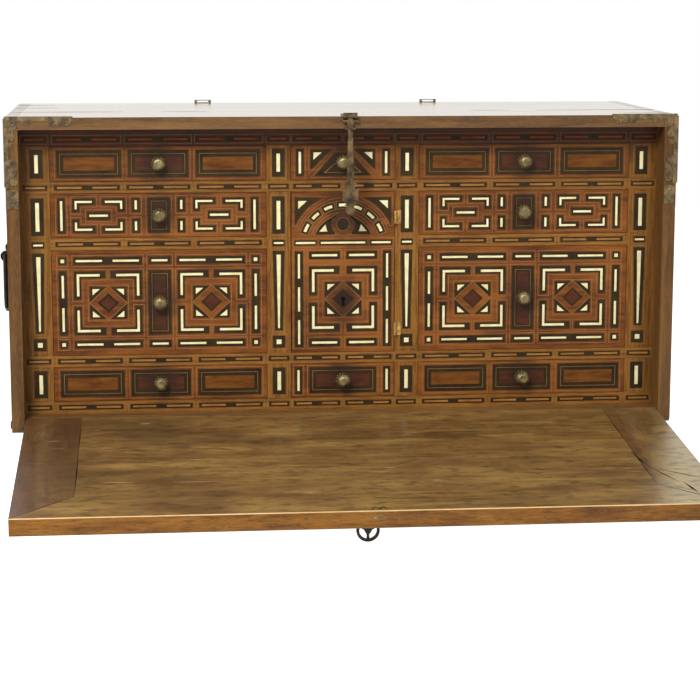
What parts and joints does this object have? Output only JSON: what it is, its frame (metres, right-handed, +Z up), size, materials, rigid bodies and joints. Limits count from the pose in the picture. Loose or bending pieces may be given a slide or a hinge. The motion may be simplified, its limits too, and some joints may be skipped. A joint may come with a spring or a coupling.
{
  "type": "fall-front writing chest (vargueno)",
  "caption": "Fall-front writing chest, open: dovetailed case, hinged writing flap with lock and hasp, and an inlaid nest of drawers round an arched door.",
  "frame": {"origin": "centre of the base face of the case, at the level it stands on", "axes": "+X along the case, to the right as seen from the front; +Z up; the front faces -Y"},
  "size_m": [1.0402, 0.832, 0.583],
  "materials": {
    "case_walnut": "satin",
    "fall_walnut": "satin",
    "nest_walnut": "satin",
    "inner_pine": "matte",
    "wrought_iron": "satin",
    "inlay": "satin",
    "brass": "satin"
  },
  "bodies": {
    "case": {"top_front_plank": "case_walnut", "top_rear_plank": "case_walnut", "bottom_board": "case_walnut", "left_side": "case_walnut", "right_side": "case_walnut", "back_board": "inner_pine", "nest_floor": "nest_walnut", "long_shelves": "nest_walnut", "middle_shelves": "nest_walnut", "top_rail": "nest_walnut", "drawer_guides": "inner_pine", "pilasters": "nest_walnut", "hasp_hinge": "wrought_iron", "corner_mounts": "wrought_iron", "handle_plates": "wrought_iron", "back_staples": "wrought_iron", "door_hinge_pins": "brass", "fall_pivots": "wrought_iron"},
    "fall": {"fall_panel": "fall_walnut", "fall_cleats": "fall_walnut", "lock_plate": "wrought_iron"},
    "lock_bolt": {"lock_bolt": "wrought_iron"},
    "key": {"key": "wrought_iron"},
    "hasp": {"hasp": "wrought_iron"},
    "door": {"door_panel": "nest_walnut", "door_hinge_leaves": "brass", "door_lock": "wrought_iron"},
    "door_bolt": {"door_bolt": "wrought_iron"},
    "left_handle": {"left_handle": "wrought_iron"},
    "right_handle": {"right_handle": "wrought_iron"},
    "left_top_drawer": {"left_top_drawer_front": "nest_walnut", "left_top_drawer_tray": "inner_pine", "left_top_knob": "wrought_iron"},
    "left_upper_drawer": {"left_upper_drawer_front": "nest_walnut", "left_upper_drawer_tray": "inner_pine", "left_upper_knob": "wrought_iron"},
    "left_middle_drawer": {"left_middle_drawer_front": "nest_walnut", "left_middle_drawer_tray": "inner_pine", "left_middle_knob": "wrought_iron"},
    "left_bottom_drawer": {"left_bottom_drawer_front": "nest_walnut", "left_bottom_drawer_tray": "inner_pine", "left_bottom_knob": "wrought_iron"},
    "right_top_drawer": {"right_top_drawer_front": "nest_walnut", "right_top_drawer_tray": "inner_pine", "right_top_knob": "wrought_iron"},
    "right_upper_drawer": {"right_upper_drawer_front": "nest_walnut", "right_upper_drawer_tray": "inner_pine", "right_upper_knob": "wrought_iron"},
    "right_middle_drawer": {"right_middle_drawer_front": "nest_walnut", "right_middle_drawer_tray": "inner_pine", "right_middle_knob": "wrought_iron"},
    "right_bottom_drawer": {"right_bottom_drawer_front": "nest_walnut", "right_bottom_drawer_tray": "inner_pine", "right_bottom_knob": "wrought_iron"},
    "centre_top_drawer": {"centre_top_drawer_front": "nest_walnut", "centre_top_drawer_tray": "inner_pine", "centre_top_knob": "wrought_iron"},
    "centre_bottom_drawer": {"centre_bottom_drawer_front": "nest_walnut", "centre_bottom_drawer_tray": "inner_pine", "centre_bottom_knob": "wrought_iron"}
  },
  "joints": [
    {"name": "fall_hinge", "type": "hinge", "parent": "case", "child": "fall", "pos_m": [0, -0.189, 0.011], "axis": [1, 0, 0], "range_deg": [-95.7, 0]},
    {"name": "hasp_swing", "type": "hinge", "parent": "case", "child": "hasp", "pos_m": [0.006, -0.2107, 0.471], "axis": [-1, 0, 0], "range_deg": [0, 230]},
    {"name": "key_turn", "type": "hinge", "parent": "fall", "child": "key", "pos_m": [0.006, -0.47598, -0.03372], "axis": [0, -0.0993, 0.9951], "range_deg": [0, 90]},
    {"name": "lock_bolt_slide", "type": "slide", "parent": "fall", "child": "lock_bolt", "axis": [1, 0, 0], "range_m": [0, 0.01]},
    {"name": "door_swing", "type": "hinge", "parent": "case", "child": "door", "pos_m": [0.0795, -0.1604, 0.23175], "axis": [0, 0, 1], "range_deg": [0, 90]},
    {"name": "door_bolt_slide", "type": "slide", "parent": "door", "child": "door_bolt", "axis": [-1, 0, 0], "range_m": [0, 0.008]},
    {"name": "left_handle_swing", "type": "hinge", "parent": "case", "child": "left_handle", "pos_m": [-0.512, 0, 0.25], "axis": [0, 1, 0], "range_deg": [0, 85]},
    {"name": "right_handle_swing", "type": "hinge", "parent": "case", "child": "right_handle", "pos_m": [0.512, 0, 0.25], "axis": [0, -1, 0], "range_deg": [0, 85]},
    {"name": "left_top_drawer_slide", "type": "slide", "parent": "case", "child": "left_top_drawer", "axis": [0, -1, 0], "range_m": [0, 0.24]},
    {"name": "left_upper_drawer_slide", "type": "slide", "parent": "case", "child": "left_upper_drawer", "axis": [0, -1, 0], "range_m": [0, 0.24]},
    {"name": "left_middle_drawer_slide", "type": "slide", "parent": "case", "child": "left_middle_drawer", "axis": [0, -1, 0], "range_m": [0, 0.24]},
    {"name": "left_bottom_drawer_slide", "type": "slide", "parent": "case", "child": "left_bottom_drawer", "axis": [0, -1, 0], "range_m": [0, 0.24]},
    {"name": "right_top_drawer_slide", "type": "slide", "parent": "case", "child": "right_top_drawer", "axis": [0, -1, 0], "range_m": [0, 0.24]},
    {"name": "right_upper_drawer_slide", "type": "slide", "parent": "case", "child": "right_upper_drawer", "axis": [0, -1, 0], "range_m": [0, 0.24]},
    {"name": "right_middle_drawer_slide", "type": "slide", "parent": "case", "child": "right_middle_drawer", "axis": [0, -1, 0], "range_m": [0, 0.24]},
    {"name": "right_bottom_drawer_slide", "type": "slide", "parent": "case", "child": "right_bottom_drawer", "axis": [0, -1, 0], "range_m": [0, 0.24]},
    {"name": "centre_top_drawer_slide", "type": "slide", "parent": "case", "child": "centre_top_drawer", "axis": [0, -1, 0], "range_m": [0, 0.24]},
    {"name": "centre_bottom_drawer_slide", "type": "slide", "parent": "case", "child": "centre_bottom_drawer", "axis": [0, -1, 0], "range_m": [0, 0.24]}
  ],
  "couplings": [
    {"joint": "lock_bolt_slide", "follows": "key_turn", "m_per_rad": 0.0063662},
    {"joint": "door_swing", "follows": "hasp_swing", "ratio": 0.3913},
    {"joint": "centre_top_drawer_slide", "follows": "hasp_swing", "m_per_rad": 0.059787}
  ]
}
